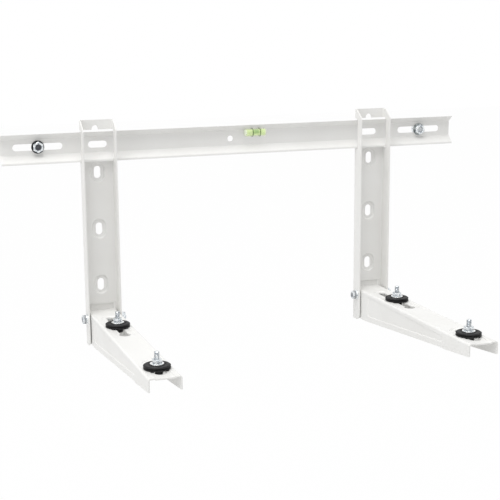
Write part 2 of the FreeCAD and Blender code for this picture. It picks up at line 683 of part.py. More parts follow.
NUT_STEP = PAD_HEIGHT + MOUNT_WASHER_THICK
END_SLOT_X = 0.5 * RAIL_LENGTH - END_SLOT_MARGIN - 0.5 * END_SLOT_LENGTH
for side_name, side in (("left", -1.0), ("right", 1.0)):
    x_mid = side * UPRIGHT_X
    save(upright(x_mid), side_name + "_upright")
    save(arm(x_mid), side_name + "_arm")

    for place_name, y_mid in (("rear", REAR_MOUNT_Y), ("front", FRONT_MOUNT_Y)):
        stem = side_name + "_" + place_name
        save(rubber_mount(x_mid, y_mid), stem + "_rubber_mount")
        save(stud(x_mid, y_mid), stem + "_stud")
        pad_top = Vector(x_mid, y_mid, ARM_TOP + PAD_HEIGHT)
        washer = ring_plate(pad_top, AXIS_Z, MOUNT_WASHER_R, BOLT_R + WASHER_GAP,
                            MOUNT_WASHER_THICK)
        save(washer, stem + "_mount_washer")
        nut = hex_nut(Vector(x_mid, y_mid, ARM_TOP + NUT_STEP), AXIS_Z, BOLT_R, NUT_FLATS,
                      NUT_HEIGHT)
        save(nut, stem + "_mount_nut")

    # Side bolt: head, spring washer and washer on the left flange, washer and nut on the right.
    flange_left = Vector(x_mid - 0.5 * UPRIGHT_WIDTH, SIDE_BOLT_Y, SIDE_BOLT_Z)
    flange_right = Vector(x_mid + 0.5 * UPRIGHT_WIDTH, SIDE_BOLT_Y, SIDE_BOLT_Z)
    spring_seat = flange_left - AXIS_X * SIDE_WASHER_THICK
    head_seat = spring_seat - AXIS_X * SPRING_WASHER_THICK
    nut_seat = flange_right + AXIS_X * SIDE_WASHER_THICK
    grip = nut_seat.x - head_seat.x + NUT_HEIGHT + BOLT_END_PAST_NUT
    bolt = hex_bolt(head_seat, AXIS_X, grip, BOLT_R, NUT_FLATS, HEAD_HEIGHT)
    save(bolt, side_name + "_side_bolt")
    save(split_ring(head_seat, AXIS_X, SPRING_WASHER_R, BOLT_R + WASHER_GAP,
                    SPRING_WASHER_THICK, SPRING_WASHER_SPLIT), side_name + "_side_spring_washer")
    save(ring_plate(spring_seat, AXIS_X, SIDE_WASHER_R, BOLT_R + WASHER_GAP,
                    SIDE_WASHER_THICK), side_name + "_side_head_washer")
    save(ring_plate(flange_right, AXIS_X, SIDE_WASHER_R, BOLT_R + WASHER_GAP,
                    SIDE_WASHER_THICK), side_name + "_side_nut_washer")
    save(hex_nut(nut_seat, AXIS_X, BOLT_R, NUT_FLATS, NUT_HEIGHT), side_name + "_side_nut")

    # Short bolt in the end slot of the rail, nut behind the web.
    web_face = Vector(side * END_SLOT_X, -SHEET, 0.0)
    head_seat = web_face - AXIS_Y * RAIL_WASHER_THICK
    length = RAIL_WASHER_THICK + SHEET + RAIL_NUT_HEIGHT + RAIL_BOLT_PAST_NUT
    bolt = hex_bolt(head_seat, AXIS_Y, length, RAIL_BOLT_R, RAIL_HEX_FLATS, RAIL_HEAD_HEIGHT)
    dish = Part.makeCone(RAIL_HEAD_DISH_R, RAIL_HEAD_DISH_FLOOR_R, RAIL_HEAD_DISH_DEPTH,
                         head_seat - AXIS_Y * RAIL_HEAD_HEIGHT, AXIS_Y)
    save(bolt.cut(dish), side_name + "_rail_bolt")
    save(ring_plate(head_seat, AXIS_Y, RAIL_WASHER_R, RAIL_BOLT_R + WASHER_GAP,
                    RAIL_WASHER_THICK), side_name + "_rail_washer")
    nut = hex_nut(Vector(side * END_SLOT_X, 0.0, 0.0), AXIS_Y, RAIL_BOLT_R, RAIL_HEX_FLATS,
                  RAIL_NUT_HEIGHT)
    save(nut, side_name + "_rail_nut")
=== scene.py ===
import math

import bmesh
import bpy
from mathutils import Matrix, Vector


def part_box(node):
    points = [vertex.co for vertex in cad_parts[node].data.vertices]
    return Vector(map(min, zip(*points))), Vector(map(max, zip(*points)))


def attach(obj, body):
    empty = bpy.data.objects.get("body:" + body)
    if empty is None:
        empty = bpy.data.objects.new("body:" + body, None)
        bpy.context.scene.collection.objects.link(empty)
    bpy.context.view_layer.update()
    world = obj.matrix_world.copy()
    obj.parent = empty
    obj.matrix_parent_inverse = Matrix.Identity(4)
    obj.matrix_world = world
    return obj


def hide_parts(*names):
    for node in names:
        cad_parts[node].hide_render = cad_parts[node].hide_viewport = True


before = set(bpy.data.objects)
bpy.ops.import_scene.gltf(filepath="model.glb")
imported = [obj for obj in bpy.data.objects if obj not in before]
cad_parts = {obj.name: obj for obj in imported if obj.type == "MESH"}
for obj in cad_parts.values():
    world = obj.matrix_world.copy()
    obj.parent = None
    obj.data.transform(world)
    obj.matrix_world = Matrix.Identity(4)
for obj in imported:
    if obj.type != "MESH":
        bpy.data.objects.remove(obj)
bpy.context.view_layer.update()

# Wall bracket for an outdoor unit: powder-coated rail, uprights and arms, rubber mounts with
# zinc-plated studs, and a green spirit level. Metres, in the frame of the solids: X along the
# rail, Y into the wall, Z up.
MM = 0.001

# Camera, fitted to the photograph
PHOTO_PX = 500.0
FOCAL_PX = 1146.78
# Column of the photograph that the lens looks along
AXIS_PX = 200.0
SENSOR_MM = 36.0
CAMERA_PLACE = Vector((-0.63283, -1.83580, 0.19435))
# Degrees round from straight at the wall, down, and about the line of sight
CAMERA_AZIMUTH = -17.075
CAMERA_DOWN = 11.293
CAMERA_ROLL = -0.923
CLIP_NEAR = 0.05
CLIP_FAR = 60.0

# Sheet metal: soft radius of a pressed edge and of a cut edge
PRESS_SOFTNESS = 0.7 * MM
CUT_SOFTNESS = 0.28 * MM
# Angles between two faces from which their edge counts as pressed and as cut
PRESS_ANGLES = (math.radians(32.0), math.radians(62.0))
EASING_STEPS = 2
# Faces that meet below this angle become one
FLAT_ANGLE = math.radians(0.4)

# Threads
THREAD_ROWS_PER_TURN = 10
THREAD_AROUND = 36
# Where the flank starts and ends on the way from crest to root
FLANK_START = 0.12
FLANK_END = 0.88
# A row beyond this place on the grid shuts an end of the rod
END_ROW = 0.4999

# Painted shade, partly dirt, in threads, under a head and in its dish, where a shallow dish needs
# more; the left rail bolt's dish gets more painted shade than the right one's
THREAD_SHADE_AND_DIRT = 0.7
SEAT_SHADE_AND_DIRT = 0.9
SIDE_DISH_SHADE_AND_DIRT = 4.0
LEFT_DISH_SHADE_AND_DIRT = 1.0
RIGHT_DISH_SHADE_AND_DIRT = 0.45
# How far past the dish and above the seat the painted shade and dirt may still lie
SHADE_AND_DIRT_EDGE = 0.1 * MM

# Steps round the turned pieces and in the arc of a rounded corner
HEX_AROUND = 72
HEX_ROWS = 6
WASHER_AROUND = 64
SHANK_AROUND = 36
SPRING_STEPS = 60
SPOOL_AROUND = 96
PLATE_AROUND = 48
TUBE_AROUND = 64
FLUID_AROUND = 48
PLUG_AROUND = 48
BUBBLE_AROUND = 32
BUBBLE_STEPS = 10
ARC_STEPS = 4
TUBE_ARC_STEPS = 8
FLUID_ARC_STEPS = 6
# Share of a profile's edge that the arc at one end may take
ARC_SHARE = 0.49

# Distances, in metres, under which points are taken as one
SHEET_MERGE = 2e-6
TURNED_MERGE = 1e-7
THREAD_MERGE = 1e-6
PLACE_MERGE = 1e-4

# Edges stay sharp above these angles, in degrees
SHEET_SHARP = 28.0
METAL_SHARP = 24.0
RUBBER_SHARP = 40.0
LEVEL_SHARP = 35.0
BUBBLE_SHARP = 60.0


class Hardware:
    """Sizes of one family of nuts and bolts, given in millimetres.

    Width across flats, heights of nut and head, radius of the bore, then the thread's crest
    radius, depth and pitch.
    """

    def __init__(self, flats, nut, head, bore, crest, depth, pitch):
        self.flats = flats * MM
        self.nut = nut * MM
        self.head = head * MM
        self.bore = bore * MM
        self.crest = crest * MM
        self.depth = depth * MM
        self.pitch = pitch * MM


M8 = Hardware(13.0, 6.5, 5.3, 4.0, 3.95, 0.62, 1.25)
M10 = Hardware(16.0, 8.0, 6.4, 5.0, 4.95, 0.75, 1.5)
SIDE_THREAD_LENGTH = 26.0 * MM
DISH_R = 5.2 * MM
DISH_FLOOR_R = 4.2 * MM
DISH_DEPTH = 1.6 * MM
SHALLOW_DISH_R = 4.9 * MM
SHALLOW_DISH_FLOOR_R = 4.2 * MM
SHALLOW_DISH_DEPTH = 0.3 * MM
HEX_FACE_SHARE = 0.97
HEX_CHAMFER = math.radians(30.0)
COUNTERSINK = 0.45 * MM
WASHER_BREAK = 0.15 * MM
WASHER_ROLL = 0.35 * MM
WASHER_BORE_ROLL = 0.12 * MM
WASHER_GAP = 0.3 * MM
SPRING_SPLIT = 1.2 * MM

# Rubber mounts: heights of the pad up from the arm's top, of plate and bulb down from it
PAD_R = 19.5 * MM
PAD_HEIGHT = 6.4 * MM
PAD_SLOPE = 1.7 * MM
PAD_RIM = 1.2 * MM
GROOVE = 1.1 * MM
GROOVE_EDGE = 2.1 * MM
GROOVE_FLOOR = 2.9 * MM
RING_INNER_R = 10.7 * MM
RING_FLOOR_INNER_R = 11.5 * MM
RING_FLOOR_OUTER_R = 12.4 * MM
RING_OUTER_R = 13.2 * MM
RING_DEPTH = 0.7 * MM
RING_SOFTNESS = 0.2 * MM
PAD_TOP_SOFTNESS = 0.3 * MM
PAD_RIM_SOFTNESS = 0.25 * MM
GROOVE_EDGE_SOFTNESS = 0.2 * MM
GROOVE_SOFTNESS = 0.3 * MM
FOOT_SOFTNESS = 0.4 * MM
GROOVE_SHADE_BELOW = 1.8 * MM
GROOVE_SHADE_ABOVE = 1.9 * MM
PLATE_DEPTH = 3.0 * MM
NECK_R = 5.75 * MM
BULB_R = 8.8 * MM
BULB_LOW = 8.4 * MM
BULB_TAPER = 2.4 * MM
BULB_SOFTNESS = 0.6 * MM
SHOULDER_SOFTNESS = 1.0 * MM
STUD_PLATE_R = 7.0 * MM
STUD_PLATE_THICK = 2.0 * MM
STUD_PLATE_SOFTNESS = 0.3 * MM

# Spirit level: soft radius of each piece's ends
TUBE_SOFTNESS = 2.2 * MM
FLUID_SOFTNESS = 1.0 * MM
PLUG_START_SOFTNESS = 0.4 * MM
PLUG_END_SOFTNESS = 0.2 * MM
# Front of the rail's web, where the level lies flat
WEB_FACE = -2.0 * MM
BUBBLE_R = 4.1 * MM
# Length of the bubble as a share of the marks' spacing
BUBBLE_SHARE = 0.9
# Depth of its axis below the fluid's top, in radii, and its place before the level's axis
BUBBLE_DROP = 1.04
BUBBLE_FORWARD = 1.6 * MM

ROOT = "root"
RECESS = "recess"


def middle(node):
    """Centre of a solid's box."""
    low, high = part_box(node)
    return (low + high) * 0.5


# Materials

def material(name, colour, roughness, metallic=0.0):
    """New material with its shader; the colour is linear."""
    made = bpy.data.materials.new(name)
    made.use_nodes = True
    shader = made.node_tree.nodes["Principled BSDF"]
    shader.inputs["Base Color"].default_value = (*colour, 1.0)
    shader.inputs["Roughness"].default_value = roughness
    shader.inputs["Metallic"].default_value = metallic
    return made, made.node_tree, shader


def grain(tree, size, detail=3.0, distortion=0.0):
    """Noise in Object coordinates; size is the width of its features in metres."""
    place = tree.nodes.new("ShaderNodeTexCoord")
    noise = tree.nodes.new("ShaderNodeTexNoise")
    noise.inputs["Scale"].default_value = 1.0 / size
    noise.inputs["Detail"].default_value = detail
    noise.inputs["Distortion"].default_value = distortion
    tree.links.new(place.outputs["Object"], noise.inputs["Vector"])
    return noise.outputs["Fac"]


def ramp(tree, value, stops):
    """Colours or greys along a value; each stop is (position, colour)."""
    node = tree.nodes.new("ShaderNodeValToRGB")
    band = node.color_ramp
    while len(band.elements) < len(stops):
        band.elements.new(0.5)
    for element, (position, colour) in zip(band.elements, stops):
        element.position = position
        element.color = (*colour, 1.0)
    tree.links.new(value, node.inputs["Fac"])
    return node.outputs["Color"]


def coloured(tree, shader, value, stops):
    """Base colour of a finish along a value."""
    tree.links.new(ramp(tree, value, stops), shader.inputs["Base Color"])


def recess(tree):
    """How strongly shade is painted in a recess (on metal partly dirt), from the piece's own
    attribute.
    """
    deep = tree.nodes.new("ShaderNodeAttribute")
    deep.attribute_name = RECESS
    return deep.outputs["Fac"]


def spread(tree, value, low, high):
    """Value mapped from 0..1 to a range."""
    node = tree.nodes.new("ShaderNodeMapRange")
    node.inputs["To Min"].default_value = low
    node.inputs["To Max"].default_value = high
    tree.links.new(value, node.inputs["Value"])
    return node.outputs["Result"]


def bumps(tree, shader, layers):
    """Chain of bump nodes; each layer is (height value, strength, depth in metres)."""
    normal = None
    for value, strength, depth in layers:
        node = tree.nodes.new("ShaderNodeBump")
        node.inputs["Strength"].default_value = strength
        node.inputs["Distance"].default_value = depth
        tree.links.new(value, node.inputs["Height"])
        if normal is not None:
            tree.links.new(normal, node.inputs["Normal"])
        normal = node.outputs["Normal"]
    tree.links.new(normal, shader.inputs["Normal"])


def tinted(tree, shader, colour, shade):
    """Base colour of a finish multiplied by a second one."""
    mixed = tree.nodes.new("ShaderNodeMix")
    mixed.data_type = "RGBA"
    mixed.blend_type = "MULTIPLY"
    mixed.inputs["Factor"].default_value = 1.0
    tree.links.new(colour, mixed.inputs["A"])
    tree.links.new(shade, mixed.inputs["B"])
    tree.links.new(mixed.outputs["Result"], shader.inputs["Base Color"])


def powder_coat():
    """Warm off-white powder coat: fine orange peel, a few specks, faint clouding."""
    made, tree, shader = material("powder_coat_off_white", (0.80, 0.795, 0.775), 0.42)
    clouds = grain(tree, 60.0 * MM, 2.0)
    tone = ramp(tree, clouds, ((0.3, (0.79, 0.785, 0.765)), (0.7, (0.815, 0.812, 0.795))))
    specks = grain(tree, 1.1 * MM, 1.0)
    speck = ramp(tree, specks, ((0.24, (0.84, 0.83, 0.81)), (0.29, (1.0, 1.0, 1.0))))
    tinted(tree, shader, tone, speck)
    peel = grain(tree, 1.6 * MM, 2.0)
    dust = grain(tree, 0.35 * MM, 1.0)
    tree.links.new(spread(tree, peel, 0.36, 0.48), shader.inputs["Roughness"])
    bumps(tree, shader, ((peel, 0.35, 0.12 * MM), (dust, 0.2, 0.03 * MM)))
    return made


def plated(name, colours, patch, smooth, rough):
    """Plated steel: mottled tints, darkened by painted shade and some dirt in threads and
    recesses.
    """
    made, tree, shader = material(name, colours[1], rough, 1.0)
    mottle = grain(tree, patch, 3.0, 0.8)
    tone = ramp(tree, mottle, ((0.34, colours[0]), (0.48, colours[1]), (0.66, colours[2])))
    # Painted shade, partly dirt, darkens the colour along the recess attribute.
    shade_and_dirt = ramp(tree, recess(tree), ((0.1, (1.0, 1.0, 1.0)), (1.0, (0.12, 0.12, 0.13))))
    tinted(tree, shader, tone, shade_and_dirt)
    crystals = grain(tree, 0.7 * MM, 4.0)
    tree.links.new(spread(tree, crystals, smooth, rough), shader.inputs["Roughness"])
    bumps(tree, shader, ((crystals, 0.25, 0.05 * MM),))
    return made


def moulded_rubber():
    """Black rubber: matt, with a fine moulded grain, a trace of bloom and painted shade in the
    groove round the pad.
    """
    made, tree, shader = material("moulded_rubber", (0.006, 0.006, 0.0065), 0.5)
    shader.inputs["Specular IOR Level"].default_value = 0.2
    bloom = grain(tree, 7.0 * MM, 4.0, 0.4)
    colour = ramp(tree, bloom, ((0.35, (0.006, 0.006, 0.0065)), (0.72, (0.018, 0.018, 0.019))))
    # Painted shade in the groove, along the recess attribute.
    shadow = ramp(tree, recess(tree), ((0.0, (1.0, 1.0, 1.0)), (1.0, (0.05, 0.05, 0.05))))
    tinted(tree, shader, colour, shadow)
    skin = grain(tree, 0.45 * MM, 3.0)
    tree.links.new(spread(tree, bloom, 0.38, 0.62), shader.inputs["Roughness"])
    bumps(tree, shader, ((skin, 0.35, 0.08 * MM),))
    return made


def clear_tube():
    """Acrylic of the level's tube, yellow-green all through."""
    made, tree, shader = material("level_clear_tube", (0.90, 0.98, 0.66), 0.08)
    shader.inputs["Alpha"].default_value = 0.3
    shader.inputs["IOR"].default_value = 1.49
    smears = grain(tree, 4.0 * MM, 3.0)
    coloured(tree, shader, smears, ((0.3, (0.86, 0.96, 0.60)), (0.7, (0.93, 0.99, 0.72))))
    tree.links.new(spread(tree, smears, 0.05, 0.16), shader.inputs["Roughness"])
    bumps(tree, shader, ((smears, 0.06, 0.05 * MM),))
    return made


def level_fluid():
    """Yellow-green spirit of the level."""
    made, tree, shader = material("level_fluid_green", (0.66, 0.91, 0.28), 0.08)
    shader.inputs["Alpha"].default_value = 0.5
    shader.inputs["IOR"].default_value = 1.36
    drift = grain(tree, 12.0 * MM, 2.0)
    coloured(tree, shader, drift, ((0.3, (0.61, 0.89, 0.22)), (0.7, (0.72, 0.93, 0.34))))
    return made


def level_bubble():
    """Air bubble, painted a darker green as the shade where it bends the light."""
    made, tree, shader = material("level_bubble_air", (0.10, 0.30, 0.004), 0.5)
    rim = grain(tree, 3.0 * MM, 1.0)
    coloured(tree, shader, rim, ((0.3, (0.07, 0.25, 0.002)), (0.7, (0.13, 0.35, 0.008))))
    return made


def pale_plastic():
    """Milky plug at the end of the level."""
    made, tree, shader = material("level_plug_pale", (0.78, 0.84, 0.66), 0.35)
    cloud = grain(tree, 3.0 * MM, 3.0)
    coloured(tree, shader, cloud, ((0.3, (0.72, 0.80, 0.60)), (0.7, (0.84, 0.88, 0.74))))
    bumps(tree, shader, ((cloud, 0.1, 0.05 * MM),))
    return made


def mark_ink():
    """Dark green printed ring of the level."""
    made, tree, shader = material("level_mark_ink", (0.03, 0.07, 0.01), 0.4)
    wear = grain(tree, 0.9 * MM, 3.0)
    coloured(tree, shader, wear, ((0.3, (0.02, 0.05, 0.008)), (0.75, (0.06, 0.12, 0.02))))
    return made


COAT = powder_coat()
ZINC = plated("zinc_plate", ((0.30, 0.33, 0.37), (0.72, 0.76, 0.79), (0.93, 0.94, 0.93)),
              patch=2.6 * MM, smooth=0.14, rough=0.3)
# Lighter copy of the zinc plate for the washers: a painted highlight of the overhead light on
# their tops.
ZINC_PAINTED_HIGHLIGHT = plated("zinc_plate_painted_highlight", ((0.74, 0.78, 0.81), (0.88, 0.90, 0.91),
                                           (0.96, 0.96, 0.94)),
                     patch=4.0 * MM, smooth=0.1, rough=0.24)
# Darker copies of the zinc plate for the rail washers: a painted reflection of dark surroundings,
# deeper on the left washer than the right.
ZINC_PAINTED_DIM_REFLECTION = plated("zinc_plate_painted_dim_reflection", ((0.10, 0.11, 0.115), (0.32, 0.35, 0.35),
                                       (0.56, 0.58, 0.57)),
                   patch=3.0 * MM, smooth=0.2, rough=0.4)
ZINC_PAINTED_DARK_REFLECTION = plated("zinc_plate_painted_dark_reflection", ((0.02, 0.022, 0.025), (0.035, 0.038, 0.042),
                                         (0.08, 0.082, 0.085)),
                    patch=2.0 * MM, smooth=0.3, rough=0.5)
RUBBER = moulded_rubber()
TUBE = clear_tube()
FLUID = level_fluid()
BUBBLE = level_bubble()
PLUG = pale_plastic()
INK = mark_ink()


# Shared mesh work

def link(name, mesh, finish):
    """Object at the origin with one material."""
    made = bpy.data.objects.new(name, mesh)
    bpy.context.scene.collection.objects.link(made)
    mesh.materials.clear()
    mesh.materials.append(finish)
    return made


def shade(mesh, angle):
    """Smooth faces, with edges kept sharp above an angle in degrees."""
    mesh.polygons.foreach_set("use_smooth", [True] * len(mesh.polygons))
    mesh.set_sharp_from_angle(angle=math.radians(angle))


def baked(made, name):
    """Plain mesh object of one with modifiers, which is removed."""
    graph = bpy.context.evaluated_depsgraph_get()
    mesh = bpy.data.meshes.new_from_object(made.evaluated_get(graph), depsgraph=graph)
    finish = made.data.materials[0]
    bpy.data.objects.remove(made)
    mesh.name = name
    return link(name, mesh, finish)


def keep(piece, slot_name, *nodes):
    """Fix a finished piece to the bracket in place of its solids."""
    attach(piece, ROOT)
    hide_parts(*nodes)


def to_mesh(made, name):
    """Mesh of a finished bmesh, which is freed."""
    mesh = bpy.data.meshes.new(name)
    made.to_mesh(mesh)
    made.free()
    return mesh


def arc_corner(before, corner, after, radius, steps):
    """Points of the arc that rounds one corner of a profile."""
    into = (before - corner).normalized()
    out = (after - corner).normalized()
    half = 0.5 * into.angle(out)
    reach = min(radius / math.tan(half), ARC_SHARE * (before - corner).length,
                ARC_SHARE * (after - corner).length)
    r = reach * math.tan(half)
    centre = corner + (into + out).normalized() * (r / math.sin(half))
    start = corner + into * reach - centre
    end = corner + out * reach - centre
    turn = start.angle_signed(end)
    points = []
    for i in range(steps + 1):
        points.append(centre + Matrix.Rotation(-turn * i / steps, 2) @ start)
    return points


def rounded_profile(corners, steps=ARC_STEPS):
    """Profile of (radius, height, corner radius) entries with its corners rounded."""
    flat = [Vector((r, z)) for r, z, _ in corners]
    points = []
    for i, (r, z, soft) in enumerate(corners):
        if soft <= 0.0 or i == 0 or i == len(corners) - 1:
            points.append(flat[i])
            continue
        points += arc_corner(flat[i - 1], flat[i], flat[i + 1], soft, steps)
    return points


def hexagon_reach(angle, flats):
    """Distance from the axis to the side of a hexagon in one direction."""
    sixth = math.pi / 3.0
    off = (angle + 0.5 * sixth) % sixth - 0.5 * sixth
    return 0.5 * flats / math.cos(off)


def turned(profile, around, flats=0.0, closed=False):
    """Mesh turned about Z from a profile, held inside a hexagon when flats is given."""
    made = bmesh.new()
    rings = []
    for point in profile:
        ring = []
        for i in range(around):
            angle = 2.0 * math.pi * i / around
            r = point.x
            if flats > 0.0:
                r = min(r, hexagon_reach(angle, flats))
            if point.x < TURNED_MERGE:
                if not ring:
                    ring.append(made.verts.new((0.0, 0.0, point.y)))
                continue
            ring.append(made.verts.new((r * math.cos(angle), r * math.sin(angle), point.y)))
        rings.append(ring)
    pairs = list(zip(rings, rings[1:]))
    if closed:
        pairs.append((rings[-1], rings[0]))
    for low, high in pairs:
        for i in range(around):
            j = (i + 1) % around
            corners = [low[i % len(low)], low[j % len(low)],
                       high[j % len(high)], high[i % len(high)]]
            face = []
            for vertex in corners:
                if vertex not in face:
                    face.append(vertex)
            if len(face) > 2:
                made.faces.new(face)
    bmesh.ops.remove_doubles(made, verts=made.verts, dist=TURNED_MERGE)
    bmesh.ops.recalc_face_normals(made, faces=made.faces)
    return to_mesh(made, "turned")


def joined(meshes):
    """One mesh from several, placed by (mesh, matrix) pairs."""
    made = bmesh.new()
    for mesh, place in meshes:
        mesh.transform(place)
        made.from_mesh(mesh)
    return to_mesh(made, "joined")


UPWARDS = Matrix.Identity(4)
ALONG_X = Matrix.Rotation(math.radians(90.0), 4, "Y")
AGAINST_X = Matrix.Rotation(math.radians(-90.0), 4, "Y")
ALONG_Y = Matrix.Rotation(math.radians(-90.0), 4, "X")
AGAINST_Y = Matrix.Rotation(math.radians(90.0), 4, "X")


# Geometry node trees

class Tree:
    """Small builder for a geometry node tree with named inputs."""

    def __init__(self, name, inputs):
        self.group = bpy.data.node_groups.new(name, "GeometryNodeTree")
        face = self.group.interface
        face.new_socket("Geometry", in_out="INPUT", socket_type="NodeSocketGeometry")
        for label, kind in inputs:
            face.new_socket(label, in_out="INPUT", socket_type="NodeSocket" + kind)
        face.new_socket("Geometry", in_out="OUTPUT", socket_type="NodeSocketGeometry")
        self.given = self.group.nodes.new("NodeGroupInput").outputs
        self.result = self.group.nodes.new("NodeGroupOutput").inputs

    def add(self, kind, links, **settings):
        """New node; links maps its input names or numbers to sockets or values."""
        node = self.group.nodes.new(kind)
        for name, value in settings.items():
            setattr(node, name, value)
        for key, value in links.items():
            if isinstance(value, bpy.types.NodeSocket):
                self.group.links.new(value, node.inputs[key])
            else:
                node.inputs[key].default_value = value
        return node.outputs

    def maths(self, operation, *values):
        """Result of one Math node."""
        return self.add("ShaderNodeMath", dict(enumerate(values)), operation=operation)[0]

    def finish(self, geometry):
        """Realize Instances and Set Material close every tree."""
        real = self.add("GeometryNodeRealizeInstances", {"Geometry": geometry})[0]
        done = self.add("GeometryNodeSetMaterial",
                        {"Geometry": real, "Material": self.given["Finish"]})[0]
        self.group.links.new(done, self.result["Geometry"])
        return self.group


def thread_tree():
    """One-start thread: a grid rolled into a rod whose radius follows the helix.

    The rod tapers to a point at its free end, and its first and last rows shut it on the axis.
    """
    tree = Tree("rolled_thread", (("Radius", "Float"), ("Depth", "Float"), ("Pitch", "Float"),
                                  ("Length", "Float"), ("Rows", "Int"), ("Around", "Int"),
                                  ("Finish", "Material")))
    given = tree.given
    sheet = tree.add("GeometryNodeMeshGrid", {"Size X": 1.0, "Size Y": 1.0,
                                              "Vertices X": given["Around"],
                                              "Vertices Y": given["Rows"]})
    place = tree.add("GeometryNodeInputPosition", {})[0]
    parts = tree.add("ShaderNodeSeparateXYZ", {0: place})
    round_share = tree.maths("ADD", parts["X"], 0.5)
    up_share = tree.maths("ADD", parts["Y"], 0.5)
    height = tree.maths("MULTIPLY", up_share, given["Length"])
    turns = tree.maths("DIVIDE", height, given["Pitch"])
    phase = tree.maths("FRACT", tree.maths("SUBTRACT", turns, round_share))
    ridge = tree.maths("ABSOLUTE", tree.maths("MULTIPLY_ADD", phase, 2.0, -1.0))
    flank = tree.add("ShaderNodeMapRange", {"Value": ridge, "From Min": FLANK_START,
                                            "From Max": FLANK_END})["Result"]
    cut = tree.maths("MULTIPLY", flank, given["Depth"])
    body = tree.maths("SUBTRACT", given["Radius"], cut)
    core = tree.maths("SUBTRACT", given["Radius"], given["Depth"])
    left = tree.maths("SUBTRACT", given["Length"], height)
    point = tree.maths("ADD", core, left)
    radius = tree.maths("MINIMUM", body, point)
    near_end = tree.maths("ABSOLUTE", parts["Y"])
    inside = tree.maths("LESS_THAN", near_end, END_ROW)
    radius = tree.maths("MULTIPLY", radius, inside)
    angle = tree.maths("MULTIPLY", round_share, 2.0 * math.pi)
    x = tree.maths("MULTIPLY", radius, tree.maths("COSINE", angle))
    y = tree.maths("MULTIPLY", radius, tree.maths("SINE", angle))
    rolled = tree.add("ShaderNodeCombineXYZ", {"X": x, "Y": y, "Z": height})[0]
    rod = tree.add("GeometryNodeSetPosition", {"Geometry": sheet["Mesh"], "Position": rolled})[0]
    merged = tree.add("GeometryNodeMergeByDistance", {"Geometry": rod, "Distance": THREAD_MERGE})
    return tree.finish(merged[0])


def set_out_tree():
    """Copies of a piece at the corners of a rectangle, or at two places when one side is 0."""
    tree = Tree("set_out", (("Spacing X", "Float"), ("Spacing Y", "Float"),
                            ("Centre", "Vector"), ("Finish", "Material")))
    given = tree.given
    corners = tree.add("GeometryNodeMeshGrid", {"Size X": given["Spacing X"],
                                                "Size Y": given["Spacing Y"],
                                                "Vertices X": 2, "Vertices Y": 2})
    places = tree.add("GeometryNodeMergeByDistance", {"Geometry": corners["Mesh"],
                                                      "Distance": PLACE_MERGE})[0]
    places = tree.add("GeometryNodeTransform", {"Geometry": places,
                                                "Translation": given["Centre"]})[0]
    copies = tree.add("GeometryNodeInstanceOnPoints", {"Points": places,
                                                       "Instance": given["Geometry"]})[0]
    return tree.finish(copies)


THREAD_TREE = thread_tree()
SET_OUT_TREE = set_out_tree()


def run_tree(made, group, values):
    """Modifier with its inputs set by socket identifier."""
    modifier = made.modifiers.new(group.name, "NODES")
    modifier.node_group = group
    for item in group.interface.items_tree:
        if item.in_out == "INPUT" and item.name in values:
            modifier[item.identifier] = values[item.name]


def thread(length, size):
    """Mesh of a threaded rod that starts at the origin and runs up Z."""
    blank = link("thread_blank", bpy.data.meshes.new("thread_blank"), ZINC)
    rows = int(length / size.pitch * THREAD_ROWS_PER_TURN) + 1
    run_tree(blank, THREAD_TREE, {"Radius": size.crest, "Depth": size.depth,
                                  "Pitch": size.pitch, "Length": length, "Rows": rows,
                                  "Around": THREAD_AROUND + 1, "Finish": ZINC})
    rod = baked(blank, "thread_rod")
    mesh = rod.data.copy()
    bpy.data.objects.remove(rod)
    made = bmesh.new()
    made.from_mesh(mesh)
    bmesh.ops.recalc_face_normals(made, faces=made.faces)
    made.to_mesh(mesh)
    made.free()
    return mesh


def note_recess(mesh, depth_at):
    """Attribute that says how strongly shade is painted on each vertex in a recess (on metal
    partly dirt), from 0 to 1.
    """
    layer = mesh.attributes.new(RECESS, "FLOAT", "POINT")
    for vertex, entry in zip(mesh.vertices, layer.data):
        reach = math.hypot(vertex.co.x, vertex.co.y)
        entry.value = max(0.0, min(1.0, depth_at(reach, vertex.co.z)))


def set_out(name, mesh, finish, centre, spacing_x, spacing_y, angle):
    """Piece made of copies of one mesh, set out round a centre."""
    blank = link(name + "_one", mesh, finish)
    run_tree(blank, SET_OUT_TREE, {"Spacing X": spacing_x, "Spacing Y": spacing_y,
                                   "Centre": centre, "Finish": finish})
    piece = baked(blank, name)
    shade(piece.data, angle)
    return piece


# Folded and pressed sheets

def pressed_sheet(node, name):
    """Sheet with its folds kept, pressed edges eased and cut edges just broken."""
    made = bmesh.new()
    made.from_mesh(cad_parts[node].data)
    bmesh.ops.remove_doubles(made, verts=made.verts, dist=SHEET_MERGE)
    bmesh.ops.dissolve_limit(made, angle_limit=FLAT_ANGLE, verts=made.verts, edges=made.edges)
    weights = made.edges.layers.float.new("bevel_weight_edge")
    low, high = PRESS_ANGLES
    for edge in made.edges:
        if len(edge.link_faces) != 2:
            continue
        angle = edge.calc_face_angle(0.0)
        if angle >= high:
            edge[weights] = CUT_SOFTNESS / PRESS_SOFTNESS
        elif angle >= low:
            edge[weights] = 1.0
    blank = link(name + "_blank", to_mesh(made, name + "_blank"), COAT)
    easing = blank.modifiers.new("eased_edges", "BEVEL")
    easing.limit_method = "WEIGHT"
    easing.width = PRESS_SOFTNESS
    easing.segments = EASING_STEPS
    easing.profile = 0.5
    easing.use_clamp_overlap = True
    piece = baked(blank, name)
    shade(piece.data, SHEET_SHARP)
    weigh = piece.modifiers.new("even_shading", "WEIGHTED_NORMAL")
    weigh.keep_sharp = True
    return baked(piece, name)


for sheet_node in ("cross_rail", "left_upright", "right_upright", "left_arm", "right_arm"):
    sheet_piece = pressed_sheet(sheet_node, "coated_" + sheet_node)
    keep(sheet_piece, "powder_coat", sheet_node)


# Fasteners

